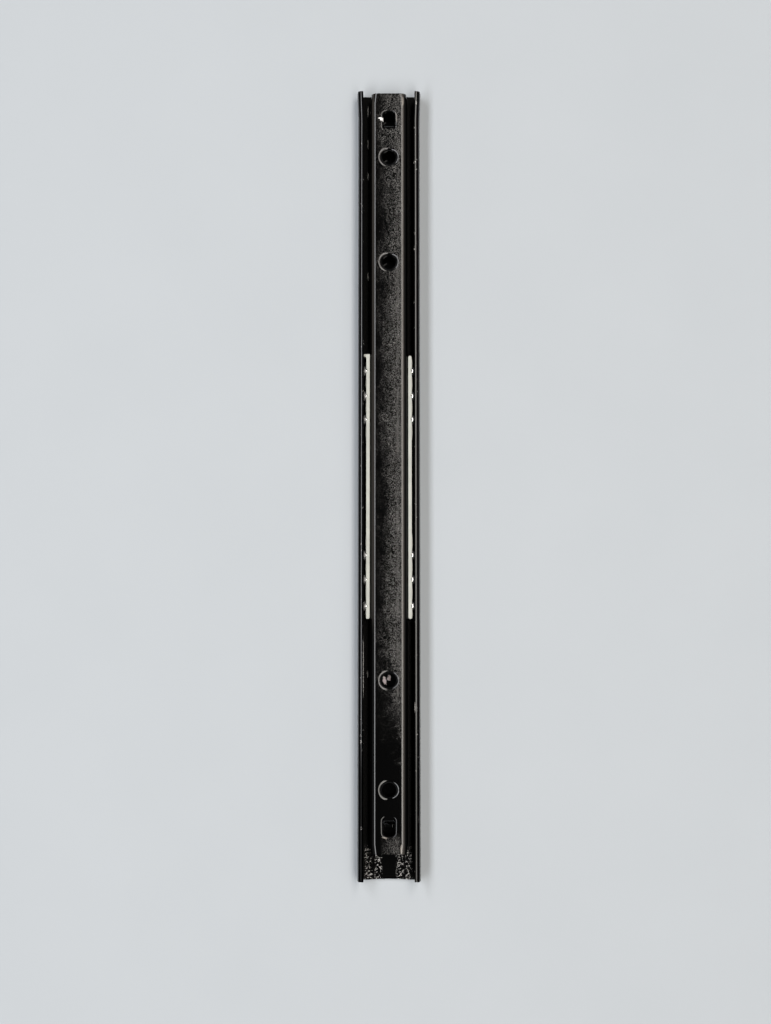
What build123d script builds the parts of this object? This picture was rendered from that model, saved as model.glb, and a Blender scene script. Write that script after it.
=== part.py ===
from build123d import *
import cmath
import math
import os

# ---------------------------------------------------------------- dimensions, mm
# +Y is the way the drawer member runs out, +Z points out of the mounting face
LENGTH = 342.0             # outer member
WIDTH = 27.0
RAIL_TOP = 9.6             # crest of the outer member's curled rails
OUTER_SHEET = 1.15
SPLAY = 0.4                # how far each rail opens at the front tip
SPLAY_RUN = 12.5

INNER_TOP = 9.8            # drawer face, proud of the rails
INNER_SHEET = 1.1
INNER_HALF = 8.1
INNER_BEND = 2.75
INNER_FLANGE_FOOT = 2.0
INNER_FRONT = 169.9
INNER_REAR = -159.4
PINCH = 0.5                # the flanges close in at both ends as a lead-in
PINCH_RUN = 4.2
FLANGE_CUT = 1.6

BALL_R = 2.25
BALL_X = 10.0
BALL_Z = 4.9
BALL_STATIONS = (47.7, 36.8, 26.5, -32.4, -42.9, -54.3)
RACE_R = BALL_R + 0.1
OUTER_WALL = 12.05         # inner face of the rail above and below its race
FOOT_BEND = 1.1            # inside radius where the web turns up into the rail
OUTER_EASE = 1.5           # rounding where the race meets the wall
INNER_EASE = 1.3
LIP_BEND = 0.65
LIP_FLAT = 0.55            # level edge of the lip, inside the bend

HOLE_STATIONS = (141.6, 95.1, -86.0, -132.4)
DIMPLE_RIM_R = 3.7
DIMPLE_HOLE_R = 2.9
DIMPLE_DEPTH = 0.95
DIMPLE_WALL = 0.95
DIMPLE_ROUND = 1.9         # the sheet rolls over into the cone
MOUNT_STATIONS = (124.0, 60.0, -52.0, -116.0)
MOUNT_RIM_R = 3.4
MOUNT_HOLE_R = 2.5
MOUNT_DEPTH = 0.75

WINDOW_ROOT = 5.0
WINDOW_TIP = 4.7
WINDOW_CORNER = 1.4
WINDOW_RIM = 0.9           # width and drop of the turned-down rim
WINDOW_ROUND = 1.0         # the sheet rolls over into the rim
WINDOWS = ((154.0, 1, 7.7), (-144.1, -1, 7.7))  # hinge station, the way the window lies from it, length
TAB_WIDTH = 4.1
TAB_BEND = 0.7
TAB_ANGLE = 75.0
TAB_LEG = 4.1
TAB_ROOT = 1.3             # how far the tab's strip starts inside the web

STOP_WIDTH = 5.0
STOP_LANCE_R = 0.85
STOP_TOP = 5.0
STOP_LANCE = 3.8
STOP_SIDE_GAP = 0.3
OUT_STOP_REAR = 44.6       # rear face of the tab that ends the extension
IN_STOP_FRONT = -147.3     # front face of the tab that ends the closing
REAR_EDGE_R = 100.0        # the web's rear edge is cut slightly hollow
REAR_EDGE_BOW = 0.4

CAGE_FRONT = 54.0
CAGE_REAR = -59.8
CAGE_IN = 8.35
CAGE_OUT = 9.8
CAGE_FOOT = 1.9
CAGE_TOP = 8.3
CAGE_END_R = 0.7
POCKET_R = BALL_R + 0.15
POCKET_NOTCH_R = 0.75      # a notch in the bar's edge above each ball
POCKET_NOTCH_X = 10.1
LOBE_OUT = 10.15           # a low shelf swells outward between the balls
LOBE_TOP = 7.3
LOBE_HALF = 4.2
LOBE_OFFSET = 5.4          # from a ball to the middle of the lobe beside it
END_LOBE_HALF = 2.2
END_LOBE_OFFSET = 3.3
HEAD_THICK = 0.75
HEAD_IN = 8.3
HEAD_OUT = 11.0
HEAD_FOOT = 2.9
HEAD_TOP = 8.2
HEAD_GUSSET = 0.8


# ---------------------------------------------------------------- bent sheet sections
def sheet_face_path(start, heading, steps, shift):
    """One face of a bent strip: (length, 0) is a straight and (radius, degrees) a bend.
    The face lies to the right of the stepped path, at the given shift."""
    edges, here, ahead = [], start, heading
    for size, turn in steps:
        beside = here - 1j * ahead * shift
        if turn:
            middle = here + 1j * ahead * math.copysign(size, turn)
            half, whole = (cmath.exp(1j * math.radians(turn * part)) for part in (0.5, 1))
            arc = [middle + (beside - middle) * spin for spin in (1, half, whole)]
            edges.append(ThreePointArc(*[(p.real, p.imag) for p in arc]))
            here, ahead = middle + (here - middle) * whole, ahead * whole
        else:
            here += ahead * size
            far = beside + ahead * size
            edges.append(Line((beside.real, beside.imag), (far.real, far.imag)))
    return edges, here, ahead


def strip_face(start, heading, steps, sheet):
    """The outline of a bent strip of sheet, filled."""
    near, _, _ = sheet_face_path(start, heading, steps, 0)
    far, _, _ = sheet_face_path(start, heading, steps, sheet)
    caps = [Line(near[0] @ 0, far[0] @ 0), Line(near[-1] @ 1, far[-1] @ 1)]
    return make_face(near + far + caps)


def sheet_section(top_middle, half_steps, sheet):
    """A left-right symmetric sheet section, from the steps of its right half."""
    _, end, ahead = sheet_face_path(complex(0, top_middle), 1 + 0j, half_steps, 0)
    steps = list(reversed(half_steps)) + list(half_steps)
    return strip_face(complex(-end.real, end.imag), ahead.conjugate(), steps, sheet)


def race_steps(wall, ease):
    """Steps through a ball race pressed into a wall, and the race's half height."""
    reach = abs(wall - BALL_X) + ease
    angle = math.degrees(math.acos(reach / (RACE_R + ease)))
    half_height = (RACE_R + ease) * math.sin(math.radians(angle))
    return [(ease, -angle), (RACE_R, 2 * angle), (ease, -angle)], half_height


def outer_section(splay):
    race, half_height = race_steps(OUTER_WALL, OUTER_EASE)
    race_low, race_high = BALL_Z - half_height, BALL_Z + half_height
    lip_start = RAIL_TOP - OUTER_SHEET - LIP_BEND
    steps = [(OUTER_WALL - FOOT_BEND + splay, 0), (FOOT_BEND, 90), (race_low - OUTER_SHEET - FOOT_BEND, 0)]
    steps += race + [(lip_start - race_high, 0), (LIP_BEND, 90), (LIP_FLAT, 0)]
    return sheet_section(OUTER_SHEET, steps, OUTER_SHEET)


def inner_section(pinch):
    race, half_height = race_steps(INNER_HALF, INNER_EASE)
    steps = [(INNER_HALF - INNER_BEND - pinch, 0), (INNER_BEND, -90)]
    steps += [(INNER_TOP - INNER_BEND - BALL_Z - half_height, 0)] + race
    steps += [(BALL_Z - half_height - INNER_FLANGE_FOOT, 0)]
    return sheet_section(INNER_TOP, steps, INNER_SHEET)


def station(y):
    """The plane across the slide at Y = y: local x is X and local y is Z."""
    return Plane(origin=(0, y, 0), x_dir=(1, 0, 0), z_dir=(0, -1, 0))


def run_of(section, stations):
    """A solid through (y, opening) stations, straight between them."""
    body = None
    for (y0, open0), (y1, open1) in zip(stations, stations[1:]):
        if open0 == open1:
            piece = extrude(station(y0) * section(open0), y0 - y1)
        else:
            piece = loft([station(y0) * section(open0), station(y1) * section(open1)], ruled=True)
        body = piece if body is None else body + piece
    return body


# ---------------------------------------------------------------- pressed features
def cone_cut(y, z_rim, rim_r, hole_r, depth):
    """A countersink from z_rim down, and the hole below it."""
    cone = Pos(0, y, z_rim - depth / 2) * Cone(hole_r, rim_r, depth)
    return cone + Pos(0, y, z_rim - depth) * Cylinder(hole_r, 2 * depth)


def dimple(y):
    """The pressed cone of metal that hangs below the sheet around a hole."""
    top, foot = INNER_TOP - INNER_SHEET / 2, INNER_TOP - DIMPLE_DEPTH - DIMPLE_WALL
    outer_r = DIMPLE_RIM_R + DIMPLE_WALL / 2
    outline = [(DIMPLE_HOLE_R, foot), (outer_r, top - DIMPLE_WALL / 2),
               (outer_r, top), (DIMPLE_HOLE_R, top)]
    ring = Plane.XZ * make_face(Polyline(*outline, close=True))
    return Pos(0, y, 0) * revolve(ring, Axis.Z)


def window_outline(hinge, way, length, grow):
    """Rounded window beside its hinge line, narrower away from it."""
    root, tip, far = WINDOW_ROOT / 2 + grow, WINDOW_TIP / 2 + grow, length + grow
    corners = [(-root, 0), (root, 0), (tip, way * far), (-tip, way * far)]
    shape = make_face(Polyline(*corners, close=True))
    shape = fillet(shape.vertices(), WINDOW_CORNER + grow / 2)
    return Pos(0, hinge, 0) * shape


def window_cut(hinge, way, length):
    depth = INNER_SHEET + 2 * WINDOW_RIM
    return Pos(0, 0, INNER_TOP - depth) * extrude(window_outline(hinge, way, length, 0), 2 * depth)


def window_rim(hinge, way, length):
    """The rim turned down around the window."""
    rim = extrude(window_outline(hinge, way, length, WINDOW_RIM), WINDOW_RIM + INNER_SHEET / 2)
    return Pos(0, 0, INNER_TOP - INNER_SHEET - WINDOW_RIM) * rim


def window_tab(hinge, way):
    """The tongue of the window, bent down from its hinge line to meet the stops."""
    steps = [(TAB_ROOT, 0), (TAB_BEND + INNER_SHEET, -TAB_ANGLE), (TAB_LEG, 0)]
    face = strip_face(complex(-TAB_ROOT, INNER_TOP), 1 + 0j, steps, INNER_SHEET)
    tab = extrude(Plane.YZ * face, TAB_WIDTH / 2, both=True)
    return Pos(0, hinge, 0) * (tab if way > 0 else tab.mirror(Plane.XZ))


def rolled_rim(body, y0, y1, radius):
    """Rounds the drawer face's edge around the opening between two stations."""
    def on_rim(edge):
        box = edge.bounding_box()
        return (box.min.Z > INNER_TOP - 0.001 and y0 < box.min.Y and box.max.Y < y1
                and max(-box.min.X, box.max.X) < INNER_HALF - INNER_BEND)
    return fillet(body.edges().filter_by(on_rim), radius)


def stop_tab(face_y, way):
    """A tongue lanced from the web and stood up: its stop face is at face_y, its metal lies to way."""
    height = STOP_TOP - OUTER_SHEET / 2
    tab = Box(STOP_WIDTH, OUTER_SHEET, height)
    tab = fillet(tab.edges().filter_by(Axis.Y).group_by(Axis.Z)[-1], STOP_WIDTH / 5)
    return Pos(0, face_y + way * OUTER_SHEET / 2, STOP_TOP - height / 2) * tab


def stop_lance(face_y, way):
    """The opening that the tongue leaves in the web."""
    middle = face_y - way * STOP_LANCE / 2
    outline = RectangleRounded(STOP_WIDTH + 2 * STOP_SIDE_GAP, STOP_LANCE, STOP_LANCE_R)
    return Pos(0, middle, -OUTER_SHEET) * extrude(outline, 3 * OUTER_SHEET)


# ---------------------------------------------------------------- pieces
def outer_member():
    front, rear = LENGTH / 2, -LENGTH / 2
    body = run_of(outer_section, [(front, SPLAY), (front - SPLAY_RUN, 0), (rear, 0)])
    for face_y, way in ((OUT_STOP_REAR, 1), (IN_STOP_FRONT, -1)):
        body = body + stop_tab(face_y, way) - stop_lance(face_y, way)
    for y in MOUNT_STATIONS:
        body -= cone_cut(y, OUTER_SHEET, MOUNT_RIM_R, MOUNT_HOLE_R, MOUNT_DEPTH)
    return body - Pos(0, rear + REAR_EDGE_BOW - REAR_EDGE_R, 0) * Cylinder(REAR_EDGE_R, WIDTH)


def inner_member():
    body = run_of(inner_section, [(INNER_FRONT, PINCH), (INNER_FRONT - PINCH_RUN, 0),
                                  (INNER_REAR + PINCH_RUN, 0), (INNER_REAR, PINCH)])
    for y in HOLE_STATIONS:
        body = body + dimple(y) - cone_cut(y, INNER_TOP, DIMPLE_RIM_R, DIMPLE_HOLE_R, DIMPLE_DEPTH)
        body = rolled_rim(body, y - 2 * DIMPLE_RIM_R, y + 2 * DIMPLE_RIM_R, DIMPLE_ROUND)
    for hinge, way, length in WINDOWS:
        body = body + window_rim(hinge, way, length) - window_cut(hinge, way, length)
        low, high = sorted((hinge - way * WINDOW_ROUND, hinge + way * (length + WINDOW_ROUND)))
        body = rolled_rim(body, low, high, WINDOW_ROUND) + window_tab(hinge, way)
    for y in (INNER_FRONT, INNER_REAR):
        cutter = Rot(45, 0, 0) * Box(WIDTH, FLANGE_CUT * math.sqrt(2), FLANGE_CUT * math.sqrt(2))
        body -= Pos(0, y, INNER_FLANGE_FOOT) * cutter
    return body


def cage_lobe(y, half):
    """A shallow swelling of the cage's outer side, centred at y."""
    swell = LOBE_OUT - CAGE_OUT
    radius = (half ** 2 + swell ** 2) / (2 * swell)
    height = LOBE_TOP - CAGE_FOOT
    disc = Pos(LOBE_OUT - radius, y, CAGE_FOOT + height / 2) * Cylinder(radius, height)
    middle = Pos((CAGE_IN + CAGE_OUT) / 2 + swell, y, CAGE_FOOT + height / 2)
    return disc & (middle * Box(CAGE_OUT - CAGE_IN, 2 * half, height))


def cage_head():
    """The plate across the gap at the front of the left cage, with its gussets."""
    plate = [(HEAD_IN, HEAD_THICK), (HEAD_OUT, HEAD_THICK), (HEAD_OUT, 0), (CAGE_OUT, -HEAD_GUSSET),
             (CAGE_IN, -HEAD_GUSSET), (HEAD_IN, 0)]
    head = extrude(make_face(Polyline(*plate, close=True)), HEAD_TOP - HEAD_FOOT)
    return Pos(0, CAGE_FRONT, HEAD_FOOT) * head


def cage(side, headed):
    """A bar with a pocket around each ball, for the gap on one side: the left one has a head."""
    height = CAGE_TOP - CAGE_FOOT
    outline = RectangleRounded(CAGE_OUT - CAGE_IN, CAGE_FRONT - CAGE_REAR, CAGE_END_R)
    body = Pos((CAGE_IN + CAGE_OUT) / 2, (CAGE_FRONT + CAGE_REAR) / 2, CAGE_FOOT) * extrude(outline, height)
    body += cage_head() if headed else cage_lobe(BALL_STATIONS[0] + END_LOBE_OFFSET, END_LOBE_HALF)
    body += cage_lobe(BALL_STATIONS[-1] - END_LOBE_OFFSET, END_LOBE_HALF)
    for y in [y - LOBE_OFFSET for y in BALL_STATIONS[:-1]] + [BALL_STATIONS[3] + LOBE_OFFSET]:
        body += cage_lobe(y, LOBE_HALF)
    for y in BALL_STATIONS:
        body -= Pos(BALL_X, y, BALL_Z) * Rot(0, 90, 0) * Cylinder(POCKET_R, WIDTH / 2)
        body -= Pos(POCKET_NOTCH_X, y, CAGE_TOP) * Cylinder(POCKET_NOTCH_R, CAGE_TOP)
    return body if side > 0 else body.mirror(Plane.YZ)


def ball(side, y):
    return Pos(side * BALL_X, y, BALL_Z) * Sphere(BALL_R)


PIECES = {
    "outer_member": outer_member(),
    "inner_member": inner_member(),
    "cage_left": cage(-1, True),
    "cage_right": cage(1, False),
}
for side_name, side in (("left", -1), ("right", 1)):
    for number, y in enumerate(BALL_STATIONS, 1):
        PIECES[f"ball_{side_name}_{number}"] = ball(side, y)

os.makedirs("parts", exist_ok=True)
for name, piece in PIECES.items():
    export_step(piece, f"parts/{name}.step")
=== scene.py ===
"""Looks for the cabinet drawer slide: paint, nylon, bearing steel, studio light and camera."""
import math

import bpy
from mathutils import Matrix, Vector


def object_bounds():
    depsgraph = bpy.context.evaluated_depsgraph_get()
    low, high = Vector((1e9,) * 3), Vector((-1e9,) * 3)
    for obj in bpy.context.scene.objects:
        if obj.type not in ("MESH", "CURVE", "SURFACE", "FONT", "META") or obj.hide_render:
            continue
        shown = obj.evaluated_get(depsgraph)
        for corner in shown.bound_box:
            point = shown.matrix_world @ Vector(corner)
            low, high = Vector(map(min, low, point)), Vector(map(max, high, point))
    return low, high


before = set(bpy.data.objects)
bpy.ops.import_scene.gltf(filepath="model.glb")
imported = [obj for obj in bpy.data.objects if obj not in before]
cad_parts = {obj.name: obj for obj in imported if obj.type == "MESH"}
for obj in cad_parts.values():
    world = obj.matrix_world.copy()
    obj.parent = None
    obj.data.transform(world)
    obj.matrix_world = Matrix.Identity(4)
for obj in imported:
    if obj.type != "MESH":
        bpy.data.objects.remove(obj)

cad_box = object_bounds()
MM = 0.001
TOP = cad_box[1][2] / MM       # the inner member's face, in mm like every place below

# ---------------------------------------------------------------- places on the slide, mm
# heights: a mask grows from the first to the second
FACE_RISE = (TOP - 0.25, TOP - 0.05)
LIP_RISE = (TOP - 0.8, TOP - 0.5)
EDGE_RISE = (7.6, 8.4)
CHIP_RISE = (7.6, 8.2)
BEND_RISE = (7.0, 8.0)
CREST_RISE = (6.5, 7.5)
GREASE_FALL = (7.5, 7.0)
RACE_FALL = (4.0, 3.0)
FLOOR_FALL = (2.2, 1.6)        # the outer member's floor, inside its channel

# stretches along the inner member
WORN_SHEEN_START = (-100.0, -60.0)
WORN_SHEEN_WAVER = 30.0            # how far the start of the worn, sheen-painted stretch wanders
TAIL_START = (-150.0, -154.0)
TAIL_SIDES = (-3.0, 4.5)
SMEAR_START = (-128.0, -115.0)
FRONT_STRETCH = (125.0, 165.0)
EVEN_START = (130.0, 95.0)
LEFT_SHOULDER_START = (-68.0, -52.0)

# stretches across it
STRIPE = (3.3, 4.1)
CROWN_HALF = 5.3               # the face is slightly crowned as far as its bends
RIGHT_SHOULDER_IN = (5.3, 5.6)
RIGHT_SHOULDER_OUT = (7.0, 6.1)
LEFT_SHOULDER = (-7.3, -6.5)

# oval patches: x, y, half width, half length, turn in degrees, raggedness
WINDOW_MOUTH = (0.0, 155.6, 2.9, 1.6)
# painted highlights on the right bend at the front and the rear and on the front window's right rim, and a
# pale patch behind the rear window
PAINTED_HIGHLIGHTS = ((6.1, 166.5, 0.5, 2.3, 0, 0.5),
              (5.2, -157.2, 0.5, 2.2, 0, 0.7),
              (-1.7, -152.4, 1.3, 0.45, -8, 2.2),
              (3.25, 159.3, 0.24, 2.7, 5, 0.3))
CHIPS = ((-3.1, 158.4, 1.0, 0.75, 0, 0.8),
         (-3.9, 158.9, 0.9, 0.35, 8, 0.6),
         (-2.5, 157.7, 1.2, 0.4, -40, 0.6))
WORN_LIPS = ((-10.95, -80.5, 0.22, 14.0, 0, 0.6),
             (11.1, -97.5, 0.3, 2.5, 0, 0.6))
BLOBS = ((-1.9, -86.2, 0.85, 1.9, 12, 2.4),
         (0.1, -85.2, 0.85, 1.3, -15, 2.4))

# on the outer member
FLECK_START = (-155.5, -159.5)
FLECK_LANES = ((-10.2, -7.4), (-5.9, -3.3), (3.4, 6.0), (7.4, 9.6))
# painted glints low in the left race: their x, half width, and stretches along the race
GLINT_X = -9.15
GLINT_HALF_WIDTH = 0.38
GLINTS = ((161.6, 167.2), (147.3, 152.1), (133.4, 137.2), (88.0, 92.5), (-85.5, -81.5))
GREASE_SPAN = (8.0, 12.6)      # out from the middle, either side
CREST_START = (12.15, 12.5)
SHADED_LIP_START = (-95.0, -130.0)   # towards the rear the lips' shine is blacked out as painted shade
LIP_START = (10.9, 11.1)

# ---------------------------------------------------------------- studio, m and degrees
COOL = (0.97, 0.98, 1.0)
WARM = (1.0, 0.96, 0.9)
LAMP_REACH = 1.8
LAMP_LENGTH = 3.2
# name, angle from overhead, half width as seen from the object, radiance, colour
LAMPS = (("strip_left", -31, 7, 8.0, COOL),
         ("strip_right", 16.5, 8.5, 6.8, WARM),
         ("fill_left", -52, 12, 0.2, COOL),
         ("fill_right", 36, 12, 0.7, WARM))
# the room is pale at the horizon and dark overhead
ROOM_FADE = (("From Min", 0.03), ("From Max", 0.35), ("To Min", 0.5), ("To Max", 0.02))
ROOM_COLOUR = (0.93, 0.96, 1.0, 1)
FLOOR_SIZE = 4
FLOOR_GAP = 0.0001             # keeps the floor clear of the outer member's underside
LENS_MM = 60.1
SENSOR_MM = 36.0
CLIP = (0.01, 20.0)
CAMERA_AT = (-0.0015, -0.0714, 0.742)
CAMERA_PITCH = 4.48


# ---------------------------------------------------------------- node helpers
class Graph:
    """A material's node tree, with short calls for the nodes this scene uses."""

    def __init__(self, name):
        self.material = bpy.data.materials.new(name)
        self.material.use_nodes = True
        self.tree = self.material.node_tree
        self.tree.nodes.clear()
        self.shader = self.add("ShaderNodeBsdfPrincipled")
        out = self.add("ShaderNodeOutputMaterial")
        self.tree.links.new(self.shader.outputs["BSDF"], out.inputs["Surface"])
        place = self.add("ShaderNodeTexCoord").outputs["Object"]
        self.mm = self.vector("SCALE", place, scale=1 / MM)
        parts = self.add("ShaderNodeSeparateXYZ")
        self.plug(parts.inputs[0], self.mm)
        self.x, self.y, self.z = parts.outputs

    def add(self, kind, **settings):
        node = self.tree.nodes.new(kind)
        for key, value in settings.items():
            setattr(node, key, value)
        return node

    def plug(self, socket, value):
        """Links a socket's value, or sets a plain number or colour."""
        if isinstance(value, bpy.types.NodeSocket):
            self.tree.links.new(value, socket)
        else:
            socket.default_value = value

    def set(self, **inputs):
        """Sets or links the shader's inputs: Base_Color=..., Roughness=..."""
        for key, value in inputs.items():
            self.plug(self.shader.inputs[key.replace("_", " ")], value)

    def vector(self, operation, a, b=None, scale=None):
        node = self.add("ShaderNodeVectorMath", operation=operation)
        self.plug(node.inputs[0], a)
        if b is not None:
            self.plug(node.inputs[1], b)
        if scale is not None:
            self.plug(node.inputs["Scale"], scale)
        return node.outputs[0]

    def math(self, operation, a, b=0.0):
        node = self.add("ShaderNodeMath", operation=operation)
        self.plug(node.inputs[0], a)
        self.plug(node.inputs[1], b)
        return node.outputs[0]

    def fold(self, operation, values):
        result = values[0]
        for value in values[1:]:
            result = self.math(operation, result, value)
        return result

    def times(self, *values):
        return self.fold("MULTIPLY", values)

    def plus(self, *values):
        return self.fold("ADD", values)

    def any_of(self, *masks):
        return self.fold("MAXIMUM", masks)

    def outside(self, mask):
        return self.math("SUBTRACT", 1.0, mask)

    def ramp(self, value, low, high, to_low=0.0, to_high=1.0):
        """Smooth 0 to 1 as the value goes from low to high."""
        node = self.add("ShaderNodeMapRange", interpolation_type="SMOOTHSTEP")
        for socket, number in zip(node.inputs, (value, low, high, to_low, to_high)):
            self.plug(socket, number)
        return node.outputs[0]

    def between(self, value, low, high, soft):
        """1 from low to high, with soft ends."""
        rise = self.ramp(value, low - soft, low + soft)
        fall = self.ramp(value, high + soft, high - soft)
        return self.times(rise, fall)

    def noise(self, scale, detail=2.0, rough=0.5, distortion=0.0, stretch=None, offset=None):
        """Noise over millimetres: scale is features per mm."""
        place = self.mm
        if stretch:
            place = self.vector("MULTIPLY", place, stretch)
        if offset:
            place = self.vector("ADD", place, offset)
        node = self.add("ShaderNodeTexNoise")
        self.plug(node.inputs["Vector"], place)
        node.inputs["Scale"].default_value = scale
        node.inputs["Detail"].default_value = detail
        node.inputs["Roughness"].default_value = rough
        node.inputs["Distortion"].default_value = distortion
        return node.outputs[0]

    def curls(self, scale, distortion):
        """0 along thin curling lines, and more away from them."""
        folds = self.noise(scale, detail=3.0, rough=0.6, distortion=distortion)
        return self.math("ABSOLUTE", self.math("SUBTRACT", folds, 0.5))

    def mix(self, factor, a, b):
        node = self.add("ShaderNodeMix", data_type="RGBA")
        for socket, value in ((node.inputs["Factor"], factor), (node.inputs[6], a), (node.inputs[7], b)):
            self.plug(socket, value)
        return node.outputs[2]

    def bump(self, height_mm):
        """Bends the normal by a height given in millimetres."""
        node = self.add("ShaderNodeBump")
        node.inputs["Strength"].default_value = 1.0
        node.inputs["Distance"].default_value = MM
        self.plug(node.inputs["Height"], height_mm)
        self.plug(self.shader.inputs["Normal"], node.outputs[0])

    def near(self, x, y, half_x, half_y, turn=0.0, ragged=0.0, soft=0.3):
        """1 inside an oval patch seen from above, turned by some degrees, fading out at its edge."""
        dx, dy = self.math("SUBTRACT", self.x, x), self.math("SUBTRACT", self.y, y)
        c, s = math.cos(math.radians(turn)), math.sin(math.radians(turn))
        along = self.math("DIVIDE", self.plus(self.times(dx, c), self.times(dy, s)), half_x)
        across = self.math("DIVIDE", self.plus(self.times(dy, c), self.times(dx, -s)), half_y)
        reach = self.math("SQRT", self.plus(self.times(along, along), self.times(across, across)))
        if ragged:
            edge = self.math("SUBTRACT", self.noise(1.6, detail=3.0, rough=0.65), 0.5)
            reach = self.plus(reach, self.times(edge, ragged))
        return self.ramp(reach, 1.0, 1.0 - soft)

    def patches(self, ovals):
        return self.any_of(*[self.near(*oval) for oval in ovals])


def grey(value, warm=0.0):
    return (value * (1 + warm), value, value * (1 - warm), 1.0)


# ---------------------------------------------------------------- inner member
def worn_sheen_paint(g):
    """Where the face has lost some gloss and carries painted sheen: most of its length, the tail, and
    smears between.
    """
    waver = g.times(g.noise(0.3, detail=5.0, rough=0.7), WORN_SHEEN_WAVER)
    worn_sheen = g.ramp(g.plus(g.y, waver), *WORN_SHEEN_START)
    tail = g.times(g.ramp(g.y, *TAIL_START), g.between(g.x, *TAIL_SIDES, soft=1.0), 0.7)
    smear = g.ramp(g.noise(0.16, detail=3.0, rough=0.6, distortion=0.8), 0.5, 0.68)
    return g.any_of(worn_sheen, tail, g.times(smear, g.ramp(g.y, *SMEAR_START), 0.6))


def orange_peel(g):
    """Fine curls with grains among them."""
    curls = g.ramp(g.curls(0.95, distortion=1.1), 0.02, 0.004)
    grains = g.ramp(g.noise(2.1, detail=2.0, rough=0.6), 0.58, 0.66)
    return g.any_of(curls, g.times(grains, 0.7))


def shoulder_sheen(g):
    """Painted sheen on the outer slopes of the two bends, the left one only along the front."""
    right = g.times(g.ramp(g.x, *RIGHT_SHOULDER_IN), g.ramp(g.x, *RIGHT_SHOULDER_OUT), 0.6)
    left = g.times(g.between(g.x, *LEFT_SHOULDER, soft=0.3), g.ramp(g.y, *LEFT_SHOULDER_START), 0.4)
    return g.times(g.any_of(right, left), g.ramp(g.z, *BEND_RISE))


def inner_paint():
    """Black electrocoat: an orange-peel face with painted sheen, lighter to the right and the front,
    glossy and black at the rear.
    """
    g = Graph("inner_paint")
    face = g.times(g.ramp(g.z, *FACE_RISE), worn_sheen_paint(g))
    peel = orange_peel(g)
    fine = g.noise(4.5, detail=2.0, rough=0.6)
    cloud = g.noise(0.11, detail=6.0, rough=0.72, distortion=0.6, stretch=(1.6, 0.6, 1.0))
    # Painted sheen: lighter to the right, where the stronger lamp stands, and towards the front
    right_light_slant = g.times(g.x, 0.034)
    across = g.plus(cloud, right_light_slant, g.ramp(g.y, *FRONT_STRETCH, to_low=0.0, to_high=0.07))
    dust_and_sheen = g.times(face, g.ramp(across, 0.22, 0.72), g.outside(g.near(*WINDOW_MOUTH)))

    offside = g.math("MINIMUM", g.math("ABSOLUTE", g.x), CROWN_HALF)
    crown = g.times(offside, offside, -0.002)
    g.bump(g.plus(crown, g.times(peel, 0.008, dust_and_sheen), g.times(fine, 0.002)))

    # The face's grey is partly dust in the orange peel and partly painted sheen, lighter along a stripe
    veil = g.plus(0.16, g.times(g.between(g.x, *STRIPE, soft=0.4), 0.26))
    even = g.times(g.ramp(across, 0.52, 0.78), g.ramp(g.y, *EVEN_START), veil)
    colour = g.mix(g.times(dust_and_sheen, g.any_of(even, peel)), grey(0.0012), grey(0.1, 0.05))
    scratches = g.ramp(g.noise(1.3, detail=4.0, rough=0.7, distortion=1.5), 0.6, 0.7)
    # Scratches, painted lighter where the painted sheen lies
    scuff_and_sheen = g.times(scratches, g.any_of(dust_and_sheen, g.times(face, 0.25)))
    colour = g.mix(scuff_and_sheen, colour, grey(0.17, 0.05))
    # Painted sheen on the outer slopes of the bends
    colour = g.mix(shoulder_sheen(g), colour, grey(0.06, 0.12))
    # Painted highlights, and one pale patch
    edge_highlights = g.times(g.patches(PAINTED_HIGHLIGHTS), g.ramp(g.z, *EDGE_RISE), 0.6)
    colour = g.mix(edge_highlights, colour, grey(0.22, 0.12))
    chip = g.times(g.patches(CHIPS), g.ramp(g.z, *CHIP_RISE))
    colour = g.mix(chip, colour, grey(0.8, 0.02))

    roughness = g.plus(0.06, g.times(dust_and_sheen, 0.05), g.times(fine, 0.03), g.times(chip, 0.3))
    g.set(Base_Color=colour, IOR=1.47, Roughness=roughness)
    return g.material


# ---------------------------------------------------------------- outer member
def bright_flecks(g):
    """Crackled bare flecks in lanes on the rear end of the floor."""
    lanes = g.any_of(*[g.between(g.x, *lane, soft=0.7) for lane in FLECK_LANES])
    rear = g.times(g.ramp(g.y, *FLECK_START), g.ramp(g.z, *FLOOR_FALL), lanes)
    crackle = g.ramp(g.curls(0.95, distortion=1.6), 0.04, 0.015)
    broken = g.ramp(g.noise(0.95, detail=2.0, offset=(7.0, 3.0, 0.0)), 0.51, 0.58)
    return g.times(crackle, broken, rear)


def race_glints(g):
    """Short painted glints low in the left race, of light that comes in through the inner member's holes.
    """
    ovals = []
    for low, high in GLINTS:
        middle, half = (low + high) / 2, (high - low) / 2
        ovals.append(g.near(GLINT_X, middle, GLINT_HALF_WIDTH, half, ragged=0.4, soft=0.5))
    return g.any_of(*ovals)


def worn_lips(g):
    """Nicks anywhere along the two lips, and two rubbed stretches."""
    nick = g.ramp(g.noise(0.9, detail=3.0, rough=0.7, stretch=(1.0, 0.5, 1.0)), 0.65, 0.72)
    rubbed = g.ramp(g.noise(2.0, detail=3.0, rough=0.7), 0.48, 0.54)
    stretches = g.times(g.patches(WORN_LIPS), g.plus(0.25, g.times(rubbed, 0.75)))
    return g.times(g.any_of(nick, stretches), g.ramp(g.z, *LIP_RISE))


def shaded_crests(g, wide):
    """Painted shade: a near-black metal finish that blacks out the rails' reflections outside their crests
    and, at the rear, over the lips.
    """
    right, left = (g.ramp(g.x, *[side * x for x in LIP_START]) for side in (1, -1))
    lips = g.times(g.ramp(g.y, *SHADED_LIP_START), g.plus(left, g.times(right, 0.5)))
    return g.times(g.any_of(g.ramp(wide, *CREST_START), lips), g.ramp(g.z, *CREST_RISE))


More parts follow.
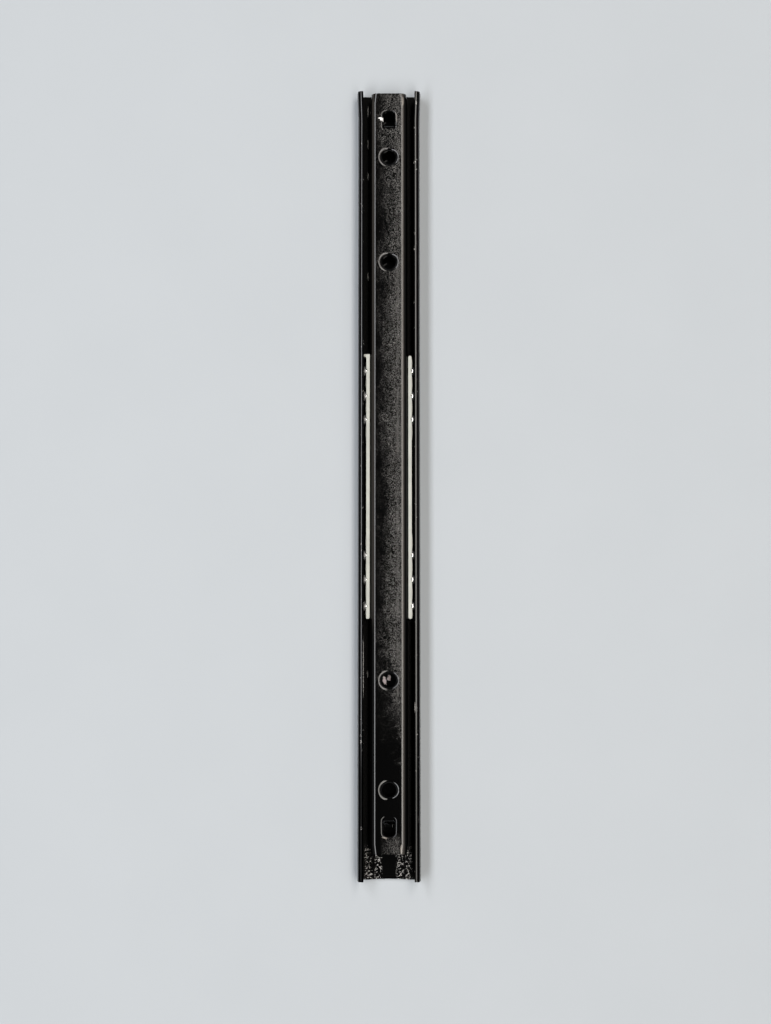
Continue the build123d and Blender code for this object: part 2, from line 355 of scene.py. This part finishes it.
def outer_paint():
    """The same coat on the outer member, worn on its lips and floor, with painted glints in its left race,
    black grease in its races, and painted shade on its flanks and rear lips.
    """
    g = Graph("outer_paint")
    fine = g.noise(4.0, detail=2.0, rough=0.6)
    wave = g.noise(0.3, detail=2.0, distortion=0.4, stretch=(1.0, 0.22, 1.0))
    flecks = bright_flecks(g)
    g.bump(g.plus(g.times(fine, 0.003), g.times(wave, 0.012), g.times(flecks, 0.04)))

    colour = g.mix(flecks, grey(0.0015), grey(0.72, 0.03))
    glints = race_glints(g)
    # Painted glints
    colour = g.mix(g.times(glints, g.ramp(g.z, *RACE_FALL)), colour, grey(0.55, 0.04))
    colour = g.mix(worn_lips(g), colour, grey(0.24, 0.05))
    blobs = g.times(g.patches(BLOBS), g.ramp(g.z, *FLOOR_FALL))
    colour = g.mix(blobs, colour, (0.85, 0.74, 0.76, 1.0))

    wide = g.math("ABSOLUTE", g.x)
    grease = g.times(g.ramp(g.z, *GREASE_FALL), g.between(wide, *GREASE_SPAN, soft=0.3), g.outside(glints))
    roughness = g.plus(0.06, g.times(fine, 0.03), g.times(flecks, 0.2), g.times(grease, 0.2),
                       g.times(blobs, 0.3))
    # Black grease in the races; painted shade, as a near-black metal finish, on the flanks and the rear
    # lips
    g.set(Base_Color=colour, IOR=1.47, Metallic=g.times(g.any_of(grease, shaded_crests(g, wide)), 0.9),
          Roughness=roughness)
    return g.material


# ---------------------------------------------------------------- cages, balls and floor
def cage_nylon():
    """Off-white moulded nylon with a faint satin grain."""
    g = Graph("cage_nylon")
    grain = g.noise(2.5, detail=3.0, rough=0.6)
    g.bump(g.times(grain, 0.01))
    tone = g.ramp(g.noise(0.2), 0.35, 0.65)
    colour = g.mix(tone, (0.37, 0.375, 0.34, 1), (0.415, 0.42, 0.38, 1))
    g.set(Base_Color=colour, Roughness=g.plus(0.34, g.times(grain, 0.12)), IOR=1.53,
          Subsurface_Weight=0.12, Subsurface_Radius=(1.0, 0.9, 0.7), Subsurface_Scale=0.0006)
    return g.material


def ball_steel():
    """Bearing steel under a film of grease, which spreads its highlight."""
    g = Graph("ball_steel")
    smear = g.noise(1.1, detail=3.0, rough=0.6, distortion=0.8)
    g.bump(g.times(smear, 0.004))
    colour = g.mix(g.ramp(smear, 0.45, 0.7), grey(0.95), grey(0.85, 0.02))
    g.set(Base_Color=colour, Metallic=0.85, Roughness=g.plus(0.1, g.times(smear, 0.06)),
          Coat_Weight=0.5, Coat_Roughness=0.1)
    return g.material


def floor_paper():
    g = Graph("floor_paper")
    g.bump(g.times(g.noise(1.5, detail=3.0, rough=0.6), 0.02))
    colour = g.mix(g.noise(0.02), (0.40, 0.425, 0.45, 1), (0.42, 0.445, 0.47, 1))
    g.set(Base_Color=colour, Roughness=0.75)
    return g.material


def wear(node_name, material):
    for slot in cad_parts[node_name].material_slots:
        slot.material = material


# ---------------------------------------------------------------- stage
def floor():
    bpy.ops.mesh.primitive_plane_add(size=FLOOR_SIZE)
    plane = bpy.context.object
    plane.name = "floor"
    plane.location.z = -FLOOR_GAP
    plane.data.materials.append(floor_paper())


def softbox(name, angle, half, radiance, colour):
    """A long rectangular light along the slide, some degrees from overhead, facing the object."""
    tilt = math.radians(angle)
    at = Vector((LAMP_REACH * math.sin(tilt), 0, LAMP_REACH * math.cos(tilt)))
    across = 2 * LAMP_REACH * math.tan(math.radians(half))
    data = bpy.data.lights.new(name, "AREA")
    data.shape = "RECTANGLE"
    data.size, data.size_y = across, LAMP_LENGTH
    data.energy = radiance * math.pi * across * LAMP_LENGTH
    data.color = colour
    lamp = bpy.data.objects.new(name, data)
    bpy.context.scene.collection.objects.link(lamp)
    facing = at.normalized()
    beside = Vector((0, 1, 0)).cross(facing).normalized()
    lamp.matrix_world = Matrix((beside, facing.cross(beside), facing)).transposed().to_4x4()
    lamp.location = at


def room():
    """Dim surroundings, paler towards the horizon."""
    world = bpy.data.worlds.new("room")
    world.use_nodes = True
    tree = world.node_tree
    background = tree.nodes["Background"]
    height = tree.nodes.new("ShaderNodeSeparateXYZ")
    fade = tree.nodes.new("ShaderNodeMapRange")
    fade.interpolation_type = "SMOOTHSTEP"
    for name, value in ROOM_FADE:
        fade.inputs[name].default_value = value
    tree.links.new(tree.nodes.new("ShaderNodeTexCoord").outputs["Generated"], height.inputs[0])
    tree.links.new(height.outputs["Z"], fade.inputs["Value"])
    tree.links.new(fade.outputs[0], background.inputs["Strength"])
    background.inputs["Color"].default_value = ROOM_COLOUR
    bpy.context.scene.world = world
    bpy.context.scene.view_settings.view_transform = "Standard"


def camera():
    data = bpy.data.cameras.new("camera")
    data.lens, data.sensor_width = LENS_MM, SENSOR_MM
    data.clip_start, data.clip_end = CLIP
    lookout = bpy.data.objects.new("camera", data)
    lookout.location = CAMERA_AT
    lookout.rotation_euler = (math.radians(CAMERA_PITCH), 0, 0)
    bpy.context.scene.collection.objects.link(lookout)
    bpy.context.scene.camera = lookout


# ---------------------------------------------------------------- build
wear("outer_member", outer_paint())
wear("inner_member", inner_paint())
nylon, steel = cage_nylon(), ball_steel()
for node_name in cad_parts:
    if node_name.startswith("cage_"):
        wear(node_name, nylon)
    elif node_name.startswith("ball_"):
        wear(node_name, steel)

floor()
for lamp in LAMPS:
    softbox(*lamp)
room()
camera()
